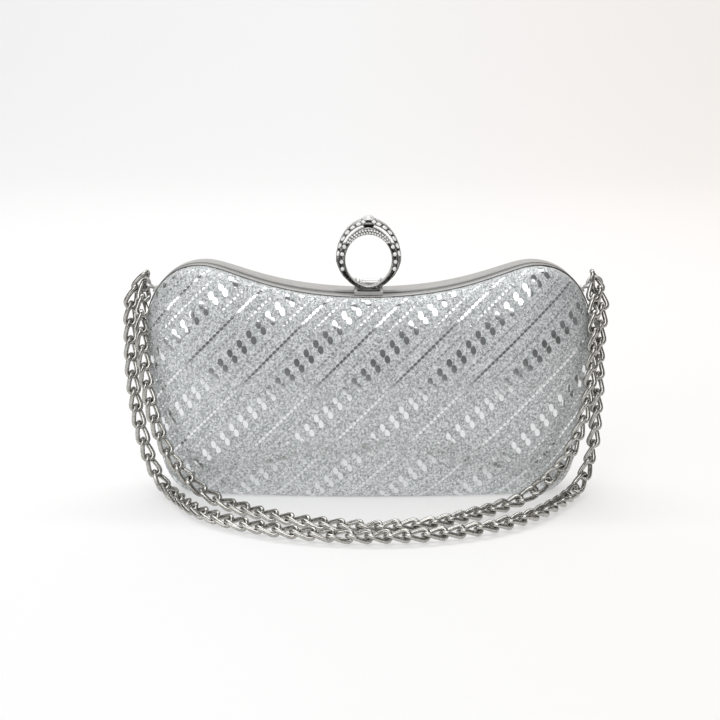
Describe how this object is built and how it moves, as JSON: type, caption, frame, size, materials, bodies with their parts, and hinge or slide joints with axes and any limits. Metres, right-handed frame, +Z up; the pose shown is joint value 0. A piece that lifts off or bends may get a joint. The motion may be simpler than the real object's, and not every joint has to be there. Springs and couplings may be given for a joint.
{
  "type": "evening bag",
  "caption": "Hard clamshell evening clutch, fabric-covered shells in metal frames, base hinge, finger-ring clasp on top and a doubled curb chain.",
  "frame": {"origin": "on the standing surface, under the middle of the bag, where the two halves meet", "axes": "+X to the bag's right end as seen from the front, +Y toward the back half, +Z up toward the finger ring"},
  "size_m": [0.2257, 0.1101, 0.1308],
  "materials": {
    "silver_fabric": "silver knit with metallic foil figures",
    "frame_nickel": "polished nickel",
    "ring_silver": "antique silver, dark in the recesses",
    "crystal": "cut crystal with a foiled back",
    "chain_silver": "antique silver plate",
    "hinge_steel": "bright steel",
    "shell_board": "moulded board",
    "satin_lining": "grey satin"
  },
  "bodies": {
    "front_half": {"front_frame": "frame_nickel", "front_shell": "shell_board", "front_cover": "silver_fabric", "front_lining": "satin_lining", "hinge_left_front_leaf": "hinge_steel", "hinge_right_front_leaf": "hinge_steel", "hinge_left_pin": "hinge_steel", "hinge_right_pin": "hinge_steel", "latch_keeper": "frame_nickel", "latch_spring": "hinge_steel", "lug_left": "frame_nickel", "lug_right": "frame_nickel", "jump_ring_left": "chain_silver", "jump_ring_right": "chain_silver", "chain_outer": "chain_silver", "chain_inner": "chain_silver"},
    "back_half": {"back_frame": "frame_nickel", "back_shell": "shell_board", "back_cover": "silver_fabric", "back_lining": "satin_lining", "slip_pocket": "satin_lining", "hinge_left_back_leaf": "hinge_steel", "hinge_right_back_leaf": "hinge_steel", "clasp_bracket": "frame_nickel", "clasp_pin": "hinge_steel", "clasp_spring": "hinge_steel"},
    "ring_lever": {"finger_ring": "ring_silver", "crown_setting": "ring_silver", "crown_stone": "crystal", "arc_stone_1": "crystal", "arc_stone_2": "crystal", "arc_stone_3": "crystal", "arc_stone_4": "crystal", "arc_stone_5": "crystal", "arc_stone_6": "crystal", "arc_stone_7": "crystal", "arc_stone_8": "crystal"}
  },
  "joints": [
    {"name": "opening", "type": "hinge", "parent": "front_half", "child": "back_half", "pos_m": [0, 0, 0.0023], "axis": [-1, 0, 0], "range_deg": [0, 50]},
    {"name": "ring_tilt", "type": "hinge", "parent": "back_half", "child": "ring_lever", "pos_m": [0, 0.009, 0.0985], "axis": [-1, 0, 0], "range_deg": [0, 30], "stiffness_Nm_per_rad": 0.02, "springref_deg": -5.73}
  ]
}
